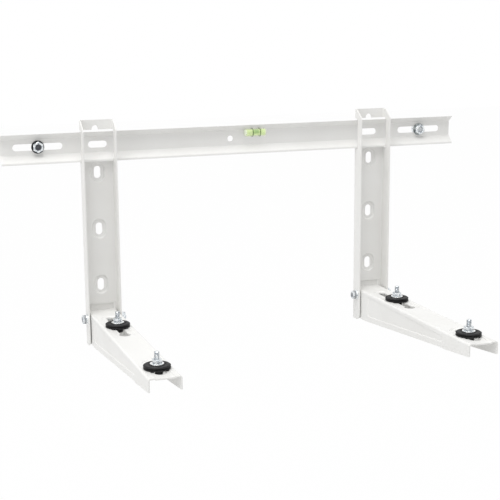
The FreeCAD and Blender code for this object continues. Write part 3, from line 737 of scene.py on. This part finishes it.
def hexagon_profile(size, height, hollow, both_ends):
    """Profile of a hexagon's turned ends: flat faces, 30 degree chamfers, countersunk bore."""
    corner = size.flats / math.sqrt(3.0)
    face = 0.5 * size.flats * HEX_FACE_SHARE
    drop = (corner - face) * math.tan(HEX_CHAMFER)
    rise = [Vector((face + (corner - face) * i / HEX_ROWS, drop * i / HEX_ROWS))
            for i in range(HEX_ROWS + 1)]
    top = [Vector((p.x, height - p.y)) for p in reversed(rise)]
    if not both_ends:
        rise = [Vector((corner, 0.0))]
    if not hollow:
        return [Vector((0.0, 0.0))] + rise + top
    mouth = size.bore + COUNTERSINK
    hole = [Vector((mouth, height)), Vector((size.bore, height - COUNTERSINK)),
            Vector((size.bore, COUNTERSINK)), Vector((mouth, 0.0))]
    return rise + top + hole


def nut_mesh(size):
    """Hexagon nut standing on the origin."""
    profile = hexagon_profile(size, size.nut, True, True)
    return turned(profile, HEX_AROUND, size.flats, closed=True)


def head_mesh(size, dish_r, floor_r, depth):
    """Bolt head standing on the origin, with a dish in its top."""
    dish = [Vector((dish_r, size.head)), Vector((floor_r, size.head - depth)),
            Vector((0.0, size.head - depth))]
    profile = hexagon_profile(size, size.head, False, False) + dish
    return turned(profile, HEX_AROUND, size.flats)


def washer_mesh(outer, inner, thickness):
    """Flat washer with a rolled upper edge, lying on the origin."""
    corners = ((inner, 0.0, 0.0), (outer - WASHER_BREAK, 0.0, 0.0), (outer, WASHER_BREAK, 0.0),
               (outer, thickness, WASHER_ROLL), (inner, thickness, WASHER_BORE_ROLL),
               (inner, 0.0, 0.0))
    return turned(rounded_profile(corners)[:-1], WASHER_AROUND, closed=True)


def spring_washer_mesh(outer, inner, thickness):
    """Split spring washer lying on the origin: one square coil with its ends apart."""
    made = bmesh.new()
    split = SPRING_SPLIT / outer
    section = ((inner, 0.0), (outer, 0.0), (outer, thickness), (inner, thickness))
    rings = []
    for i in range(SPRING_STEPS + 1):
        angle = 0.5 * split + (2.0 * math.pi - split) * i / SPRING_STEPS
        rings.append([made.verts.new((r * math.cos(angle), r * math.sin(angle), z))
                      for r, z in section])
    for low, high in zip(rings, rings[1:]):
        for i in range(len(section)):
            j = (i + 1) % len(section)
            made.faces.new((low[i], low[j], high[j], high[i]))
    made.faces.new(rings[0])
    made.faces.new(rings[-1])
    bmesh.ops.recalc_face_normals(made, faces=made.faces)
    return to_mesh(made, "spring_washer")


def shank_mesh(length, radius):
    """Plain round length of a bolt."""
    corners = ((0.0, 0.0, 0.0), (radius, 0.0, 0.0), (radius, length, 0.0), (0.0, length, 0.0))
    return turned(rounded_profile(corners), SHANK_AROUND)


def bolt_mesh(size, length, threaded, head, dish_shade_and_dirt):
    """Bolt with its seat on the origin: the head stands below it, the shank runs up Z."""
    plain = length - threaded
    parts = [(head, Matrix.Rotation(math.pi, 4, "X")),
             (thread(threaded, size), Matrix.Translation((0.0, 0.0, plain)))]
    if plain > 0.0:
        parts.append((shank_mesh(plain, size.crest), UPWARDS))
    mesh = joined(parts)

    # Painted shade, partly dirt, in the thread roots, the head's dish and under its seat.
    def depth_at(reach, height):
        if plain < height < length - size.depth:
            return THREAD_SHADE_AND_DIRT * (size.crest - reach) / size.depth
        if height < -0.5 * size.head and reach < DISH_R + SHADE_AND_DIRT_EDGE:
            return dish_shade_and_dirt * (size.head + height) / DISH_DEPTH
        if reach > size.crest + MM and height > -SHADE_AND_DIRT_EDGE:
            return SEAT_SHADE_AND_DIRT
        return 0.0

    note_recess(mesh, depth_at)
    return mesh


def fastener(name, mesh, turn, nodes, finish):
    """Plated piece set out at its places, in place of its solids."""
    mesh.transform(turn)
    first, second = middle(nodes[0]), middle(nodes[-1])
    low = Vector([min(v.co[i] for v in mesh.vertices) for i in range(3)])
    high = Vector([max(v.co[i] for v in mesh.vertices) for i in range(3)])
    centre = (first + second) * 0.5 - (low + high) * 0.5
    piece = set_out(name, mesh, finish, centre, (second - first).x, 0.0, METAL_SHARP)
    keep(piece, "zinc_steel", *nodes)


def pair(stem):
    """Node names of the left and the right piece."""
    return ["left_" + stem, "right_" + stem]


def box_size(node):
    """Size of a solid's box."""
    low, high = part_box(node)
    return high - low


SIDE_BOLT_LENGTH = box_size("left_side_bolt").x - M8.head
RAIL_BOLT_LENGTH = box_size("left_rail_bolt").y - M10.head
SIDE_WASHER = box_size("left_side_head_washer")
SPRING_WASHER = box_size("left_side_spring_washer")
RAIL_WASHER = box_size("left_rail_washer")
M8_HOLE = M8.bore + WASHER_GAP
M10_HOLE = M10.bore + WASHER_GAP


def side_head():
    """Head of a side bolt, nearly flat on top."""
    return head_mesh(M8, SHALLOW_DISH_R, SHALLOW_DISH_FLOOR_R, SHALLOW_DISH_DEPTH)


def side_bolt():
    """Long bolt through an upright and its arm."""
    return bolt_mesh(M8, SIDE_BOLT_LENGTH, SIDE_THREAD_LENGTH, side_head(), SIDE_DISH_SHADE_AND_DIRT)


def side_washer():
    """Flat washer of a side bolt."""
    return washer_mesh(0.5 * SIDE_WASHER.y, M8_HOLE, SIDE_WASHER.x)


def side_spring_washer():
    """Split washer under the nut of a side bolt."""
    return spring_washer_mesh(0.5 * SPRING_WASHER.y, M8_HOLE, SPRING_WASHER.x)


def rail_head():
    """Head of a rail bolt, with a deeper dish."""
    return head_mesh(M10, DISH_R, DISH_FLOOR_R, DISH_DEPTH)


def rail_bolt(dish_shade_and_dirt):
    """Bolt at an end of the rail, threaded all the way."""
    return bolt_mesh(M10, RAIL_BOLT_LENGTH, RAIL_BOLT_LENGTH, rail_head(), dish_shade_and_dirt)


def rail_washer():
    """Flat washer of a rail bolt."""
    return washer_mesh(0.5 * RAIL_WASHER.x, M10_HOLE, RAIL_WASHER.y)


fastener("side_bolts", side_bolt(), ALONG_X, pair("side_bolt"), ZINC)
fastener("side_spring_washers", side_spring_washer(), ALONG_X, pair("side_spring_washer"), ZINC)
# Washers take the lighter zinc copy, a painted highlight.
fastener("side_head_washers", side_washer(), AGAINST_X, pair("side_head_washer"), ZINC_PAINTED_HIGHLIGHT)
fastener("side_nut_washers", side_washer(), ALONG_X, pair("side_nut_washer"), ZINC_PAINTED_HIGHLIGHT)
fastener("side_nuts", nut_mesh(M8), ALONG_X, pair("side_nut"), ZINC)
fastener("rail_bolt_left", rail_bolt(LEFT_DISH_SHADE_AND_DIRT), ALONG_Y, ["left_rail_bolt"], ZINC)
fastener("rail_bolt_right", rail_bolt(RIGHT_DISH_SHADE_AND_DIRT), ALONG_Y, ["right_rail_bolt"], ZINC)
# The two rail washers are the same part; their colours are painted reflection, darker on the left.
fastener("rail_washer_painted_dark_reflection", rail_washer(), AGAINST_Y, ["left_rail_washer"], ZINC_PAINTED_DARK_REFLECTION)
fastener("rail_washer_painted_dim_reflection", rail_washer(), AGAINST_Y, ["right_rail_washer"], ZINC_PAINTED_DIM_REFLECTION)
fastener("rail_nuts", nut_mesh(M10), ALONG_Y, pair("rail_nut"), ZINC)


# Rubber mounts with their studs

def at_mounts(stem):
    """Node names of the four mounts' pieces."""
    return [side + "_" + place + "_" + stem for side in ("left", "right")
            for place in ("rear", "front")]


MOUNTS = at_mounts("stud")
MOUNT_SPACING_X = middle("right_front_stud").x - middle("left_front_stud").x
MOUNT_SPACING_Y = middle("left_rear_stud").y - middle("left_front_stud").y
MOUNT_CENTRE = sum((middle(node) for node in MOUNTS), Vector()) / len(MOUNTS)
PAD_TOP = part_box("left_front_rubber_mount")[1].z
ARM_TOP = PAD_TOP - PAD_HEIGHT


def mount_piece(name, mesh, height, finish, slot_name, stem, angle):
    """Piece set out at the four mounts, its zero at one height, in place of its solids."""
    centre = Vector((MOUNT_CENTRE.x, MOUNT_CENTRE.y, height))
    piece = set_out(name, mesh, finish, centre, MOUNT_SPACING_X, MOUNT_SPACING_Y, angle)
    keep(piece, slot_name, *at_mounts(stem))


def spool_mesh():
    """Rubber spool: pad with a groove round its side and a sunk ring in its top, neck and bulb."""
    top = PAD_HEIGHT
    groove_r = PAD_R - GROOVE
    ring_floor = top - RING_DEPTH
    corners = (
        (0.0, top, 0.0),
        (RING_INNER_R, top, RING_SOFTNESS), (RING_FLOOR_INNER_R, ring_floor, RING_SOFTNESS),
        (RING_FLOOR_OUTER_R, ring_floor, RING_SOFTNESS), (RING_OUTER_R, top, RING_SOFTNESS),
        (PAD_R - PAD_SLOPE, top, PAD_TOP_SOFTNESS), (PAD_R, top - PAD_RIM, PAD_RIM_SOFTNESS),
        (PAD_R, top - GROOVE_EDGE, GROOVE_EDGE_SOFTNESS),
        (groove_r, top - GROOVE_FLOOR, GROOVE_SOFTNESS),
        (groove_r, GROOVE_FLOOR, GROOVE_SOFTNESS), (PAD_R, GROOVE_EDGE, GROOVE_EDGE_SOFTNESS),
        (PAD_R, PAD_RIM, FOOT_SOFTNESS), (PAD_R - PAD_RIM, 0.0, FOOT_SOFTNESS),
        (NECK_R, 0.0, 0.0), (NECK_R, -PLATE_DEPTH, 0.0),
        (BULB_R, -PLATE_DEPTH, BULB_SOFTNESS),
        (BULB_R, BULB_TAPER - BULB_LOW, SHOULDER_SOFTNESS),
        (BULB_R - 0.5 * BULB_TAPER, -BULB_LOW, BULB_SOFTNESS), (0.0, -BULB_LOW, 0.0))
    mesh = turned(rounded_profile(corners), SPOOL_AROUND)

    # Painted shade in the groove round the pad's side.
    def depth_at(reach, height):
        if GROOVE_SHADE_ABOVE < height <= top - GROOVE_SHADE_BELOW:
            return (PAD_R - reach) / GROOVE
        return 0.0

    note_recess(mesh, depth_at)
    return mesh


def stud_mesh():
    """Stud: round plate in the bulb, plain length in the rubber, thread above the pad."""
    total = box_size("left_front_stud").z
    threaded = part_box("left_front_stud")[1].z - PAD_TOP
    plain = total - threaded
    corners = ((0.0, 0.0, 0.0), (STUD_PLATE_R, 0.0, STUD_PLATE_SOFTNESS),
               (STUD_PLATE_R, STUD_PLATE_THICK, STUD_PLATE_SOFTNESS),
               (0.0, STUD_PLATE_THICK, 0.0))
    plate = turned(rounded_profile(corners), PLATE_AROUND)
    mesh = joined([(plate, UPWARDS), (shank_mesh(plain, M8.crest), UPWARDS),
                   (thread(threaded, M8), Matrix.Translation((0.0, 0.0, plain)))])

    # Painted shade, partly dirt, in the thread roots.
    def depth_at(reach, height):
        if plain < height < total - M8.depth:
            return THREAD_SHADE_AND_DIRT * (M8.crest - reach) / M8.depth
        return 0.0

    note_recess(mesh, depth_at)
    return mesh


MOUNT_WASHER = box_size("left_front_mount_washer")
mount_piece("rubber_mounts", spool_mesh(), ARM_TOP, RUBBER, "black_rubber", "rubber_mount",
            RUBBER_SHARP)
mount_piece("mount_studs", stud_mesh(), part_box("left_front_stud")[0].z, ZINC, "zinc_steel",
            "stud", METAL_SHARP)
# The mount washers also take the painted highlight.
mount_piece("mount_washers", washer_mesh(0.5 * MOUNT_WASHER.x, M8_HOLE, MOUNT_WASHER.z),
            PAD_TOP, ZINC_PAINTED_HIGHLIGHT, "zinc_steel", "mount_washer", METAL_SHARP)
mount_piece("mount_nuts", nut_mesh(M8), PAD_TOP + MOUNT_WASHER.z, ZINC, "zinc_steel",
            "mount_nut", METAL_SHARP)


# Spirit level

TUBE_LOW, TUBE_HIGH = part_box("level_vial_body")
FLUID_LOW, FLUID_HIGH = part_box("level_vial_fluid")
PLUG_LOW, PLUG_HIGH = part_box("level_vial_plug")
LEVEL_AXIS = middle("level_vial_fluid")


def along_level(mesh, start):
    """Place a mesh turned about Z along the level, from one end."""
    mesh.transform(Matrix.Translation((start, LEVEL_AXIS.y, LEVEL_AXIS.z)) @ ALONG_X)
    return mesh


def let_light_through(piece):
    """Keep a clear piece from throwing a shadow on the rail, as light passes through it."""
    piece.visible_shadow = False
    piece.visible_diffuse = False


def level_piece(name, mesh, finish, slot_name, node):
    """Piece of the level in place of its solid, flat where it lies on the rail's web."""
    for vertex in mesh.vertices:
        vertex.co.y = min(vertex.co.y, WEB_FACE)
    piece = link(name, mesh, finish)
    if finish in (TUBE, FLUID):
        let_light_through(piece)
    shade(mesh, LEVEL_SHARP)
    keep(piece, slot_name, node)


def round_length(low, high, softness, steps, around):
    """Round rod along the level from a box's low end to its high end, with soft ends."""
    length = high.x - low.x
    r = LEVEL_AXIS.y - low.y
    start, end = softness
    corners = ((0.0, 0.0, 0.0), (r, 0.0, start), (r, length, end), (0.0, length, 0.0))
    return along_level(turned(rounded_profile(corners, steps), around), low.x)


def tube_mesh():
    """Tube with softly rounded ends."""
    softness = (TUBE_SOFTNESS, TUBE_SOFTNESS)
    return round_length(TUBE_LOW, TUBE_HIGH, softness, TUBE_ARC_STEPS, TUBE_AROUND)


def fluid_mesh():
    """Fluid column, slightly domed at its ends."""
    softness = (FLUID_SOFTNESS, FLUID_SOFTNESS)
    return round_length(FLUID_LOW, FLUID_HIGH, softness, FLUID_ARC_STEPS, FLUID_AROUND)


def plug_mesh():
    """Plug pushed into the end of the tube."""
    softness = (PLUG_START_SOFTNESS, PLUG_END_SOFTNESS)
    return round_length(PLUG_LOW, PLUG_HIGH, softness, ARC_STEPS, PLUG_AROUND)


def mark_mesh(node):
    """Thin ring round the tube."""
    low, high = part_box(node)
    inner = LEVEL_AXIS.y - TUBE_LOW.y
    outer = LEVEL_AXIS.y - low.y
    width = high.x - low.x
    ring = [Vector((inner, 0.0)), Vector((outer, 0.0)), Vector((outer, width)),
            Vector((inner, width))]
    return along_level(turned(ring, TUBE_AROUND, closed=True), low.x)


def bubble_mesh():
    """Air bubble between the two marks, at the top of the fluid."""
    left, right = middle("level_mark_left"), middle("level_mark_right")
    length = BUBBLE_SHARE * (right.x - left.x)
    profile = [Vector((0.0, 0.0))]
    for i in range(1, BUBBLE_STEPS + 1):
        angle = 0.5 * math.pi * i / BUBBLE_STEPS
        profile.append(Vector((BUBBLE_R * math.sin(angle), BUBBLE_R * (1.0 - math.cos(angle)))))
    profile += [Vector((p.x, length - p.y)) for p in reversed(profile)]
    mesh = turned(profile, BUBBLE_AROUND)
    start = 0.5 * (left.x + right.x) - 0.5 * length
    place = Vector((start, LEVEL_AXIS.y - BUBBLE_FORWARD, FLUID_HIGH.z - BUBBLE_DROP * BUBBLE_R))
    mesh.transform(Matrix.Translation(place) @ ALONG_X)
    return mesh


level_piece("level_tube", tube_mesh(), TUBE, "clear_tube", "level_vial_body")
level_piece("level_fluid", fluid_mesh(), FLUID, "level_fluid", "level_vial_fluid")
level_piece("level_plug", plug_mesh(), PLUG, "level_plug", "level_vial_plug")
for mark_side in ("left", "right"):
    mark_node = "level_mark_" + mark_side
    level_piece("level_mark_ring_" + mark_side, mark_mesh(mark_node), INK, "level_mark",
                mark_node)
bubble = link("level_bubble", bubble_mesh(), BUBBLE)
let_light_through(bubble)
shade(bubble.data, BUBBLE_SHARP)
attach(bubble, ROOT)


# Stage, light and camera

FLOOR_Z = -0.75
FLOOR_HALF = 9.0
FLOOR_COLOUR = (0.8, 0.8, 0.8)
FLOOR_ROUGHNESS = 0.9
FLOOR_GLOW = 0.98
AMBIENT = 0.65
LAMP_TARGET = Vector((0.0, -0.15, -0.15))
OVERHEAD_PLACE = Vector((-0.9, -1.3, 4.3))
OVERHEAD_SIZE = 3.4
OVERHEAD_WATTS = 140.0
LEFT_PLACE = Vector((-4.9, -1.55, 1.1))
LEFT_SIZE = 3.0
LEFT_WATTS = 46.0
WHITE = (1.0, 1.0, 1.0, 1.0)


def seen_directly(tree):
    """1 for camera, mirror and see-through rays, which show the white studio."""
    path = tree.nodes.new("ShaderNodeLightPath")
    seen = path.outputs["Is Camera Ray"]
    for ray in ("Is Glossy Ray", "Is Transmission Ray"):
        either = tree.nodes.new("ShaderNodeMath")
        either.operation = "MAXIMUM"
        tree.links.new(seen, either.inputs[0])
        tree.links.new(path.outputs[ray], either.inputs[1])
        seen = either.outputs[0]
    return seen


def studio_world():
    """White surroundings, dimmer where they only light the bracket."""
    world = bpy.data.worlds.new("studio")
    bpy.context.scene.world = world
    world.use_nodes = True
    tree = world.node_tree
    background = tree.nodes["Background"]
    background.inputs["Color"].default_value = WHITE
    level = tree.nodes.new("ShaderNodeMapRange")
    level.inputs["To Min"].default_value = AMBIENT
    level.inputs["To Max"].default_value = 1.0
    tree.links.new(seen_directly(tree), level.inputs["Value"])
    tree.links.new(level.outputs["Result"], background.inputs["Strength"])


def studio_floor():
    """White floor well below the bracket that keeps a faint shadow."""
    bpy.ops.mesh.primitive_plane_add(size=2.0 * FLOOR_HALF, location=(0.0, 0.0, FLOOR_Z))
    floor = bpy.context.object
    floor.name = "studio_floor"
    made, tree, shader = material("studio_floor_white", FLOOR_COLOUR, FLOOR_ROUGHNESS)
    glow = tree.nodes.new("ShaderNodeEmission")
    glow.inputs["Color"].default_value = WHITE
    mix = tree.nodes.new("ShaderNodeMixShader")
    share = tree.nodes.new("ShaderNodeMath")
    share.operation = "MULTIPLY"
    share.inputs[1].default_value = FLOOR_GLOW
    tree.links.new(seen_directly(tree), share.inputs[0])
    tree.links.new(share.outputs[0], mix.inputs["Fac"])
    tree.links.new(shader.outputs["BSDF"], mix.inputs[1])
    tree.links.new(glow.outputs["Emission"], mix.inputs[2])
    output = tree.nodes["Material Output"]
    tree.links.new(mix.outputs["Shader"], output.inputs["Surface"])
    floor.data.materials.append(made)


def soft_box(name, place, size, watts):
    """Square area lamp aimed at the middle of the bracket."""
    lamp = bpy.data.lights.new(name, "AREA")
    lamp.shape = "SQUARE"
    lamp.size = size
    lamp.energy = watts
    made = bpy.data.objects.new(name, lamp)
    bpy.context.scene.collection.objects.link(made)
    made.location = place
    made.rotation_euler = (LAMP_TARGET - place).to_track_quat("-Z", "Y").to_euler()


def photo_camera():
    """Camera at the photograph's place and angle."""
    turn = math.radians(CAMERA_AZIMUTH)
    down = math.radians(CAMERA_DOWN)
    roll = math.radians(CAMERA_ROLL)
    ahead = Vector((-math.sin(turn) * math.cos(down), math.cos(turn) * math.cos(down),
                    -math.sin(down)))
    right = ahead.cross(Vector((0.0, 0.0, 1.0))).normalized()
    up = right.cross(ahead)
    right, up = (right * math.cos(roll) + up * math.sin(roll),
                 up * math.cos(roll) - right * math.sin(roll))
    lens = bpy.data.cameras.new("photo_camera")
    lens.sensor_width = SENSOR_MM
    lens.lens = SENSOR_MM * FOCAL_PX / PHOTO_PX
    lens.shift_x = (0.5 * PHOTO_PX - AXIS_PX) / PHOTO_PX
    lens.clip_start = CLIP_NEAR
    lens.clip_end = CLIP_FAR
    lens.dof.use_dof = False
    made = bpy.data.objects.new("photo_camera", lens)
    bpy.context.scene.collection.objects.link(made)
    pose = Matrix((right, up, -ahead)).transposed().to_4x4()
    pose.translation = CAMERA_PLACE
    made.matrix_world = pose
    bpy.context.scene.camera = made


studio_world()
studio_floor()
soft_box("overhead_box", OVERHEAD_PLACE, OVERHEAD_SIZE, OVERHEAD_WATTS)
soft_box("left_box", LEFT_PLACE, LEFT_SIZE, LEFT_WATTS)
photo_camera()
bpy.context.scene.view_settings.view_transform = "Standard"
